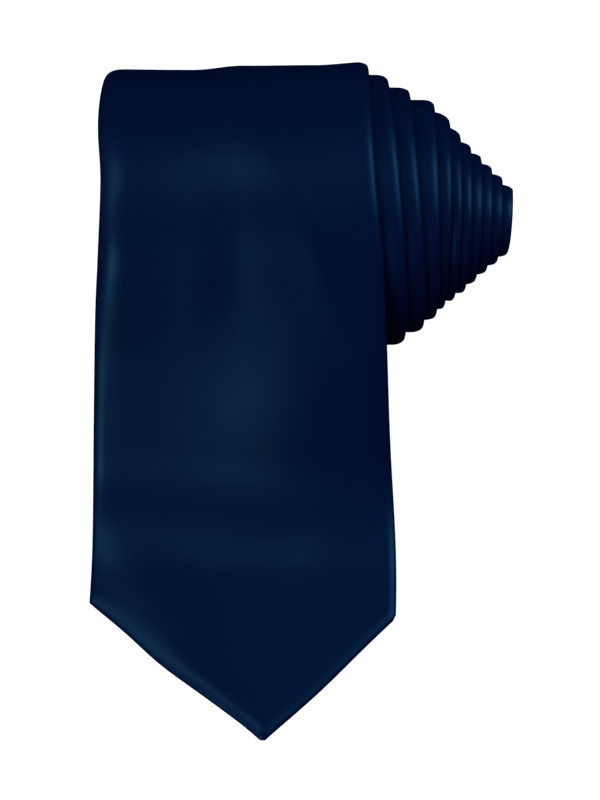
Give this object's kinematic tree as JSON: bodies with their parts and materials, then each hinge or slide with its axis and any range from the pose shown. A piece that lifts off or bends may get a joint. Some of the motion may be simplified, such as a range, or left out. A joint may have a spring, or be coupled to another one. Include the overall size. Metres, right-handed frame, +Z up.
{
  "type": "necktie",
  "caption": "Plain navy satin necktie, rolled up from its narrow end and lying on its side, with the broad pointed blade run out in front.",
  "frame": {"origin": "below the middle of the footprint, on the surface that the tie lies on", "axes": "+Z up, +X along the roll's axis towards the side where the inner wraps stand out, -Y towards the blade's tip"},
  "size_m": [0.1056, 0.1664, 0.0725],
  "materials": {
    "navy_satin": "satin",
    "navy_lining": "satin",
    "wool_interlining": "matte",
    "navy_thread": "matte",
    "label_tape": "matte"
  },
  "bodies": {
    "roll": {"blade_shell_wound": "navy_satin", "neck_shell": "navy_satin", "tail_shell": "navy_satin", "interlining_wound": "wool_interlining", "tail_tipping": "navy_lining", "blade_neck_seam": "navy_thread", "neck_tail_seam": "navy_thread", "slip_stitch_wound": "navy_thread", "tail_bar_tack": "navy_thread"},
    "blade": {"blade_shell_end": "navy_satin", "interlining_end": "wool_interlining", "blade_tipping": "navy_lining", "slip_stitch_end": "navy_thread", "slip_stitch_reserve_loop": "navy_thread", "blade_bar_tack": "navy_thread", "keeper_loop": "navy_satin", "keeper_stitches_left": "navy_thread", "keeper_stitches_right": "navy_thread", "care_label_stitches": "navy_thread"},
    "care_label": {"care_label": "label_tape"}
  },
  "joints": [
    {"name": "blade_lift", "type": "hinge", "parent": "roll", "child": "blade", "pos_m": [-0.01532, 0.01647, 0.05754], "axis": [-1, 0, 0], "range_deg": [0, 110]},
    {"name": "care_label_flip", "type": "hinge", "parent": "blade", "child": "care_label", "pos_m": [-0.00332, 0.00229, 0.03243], "axis": [1, 0, 0], "range_deg": [0, 70]}
  ]
}
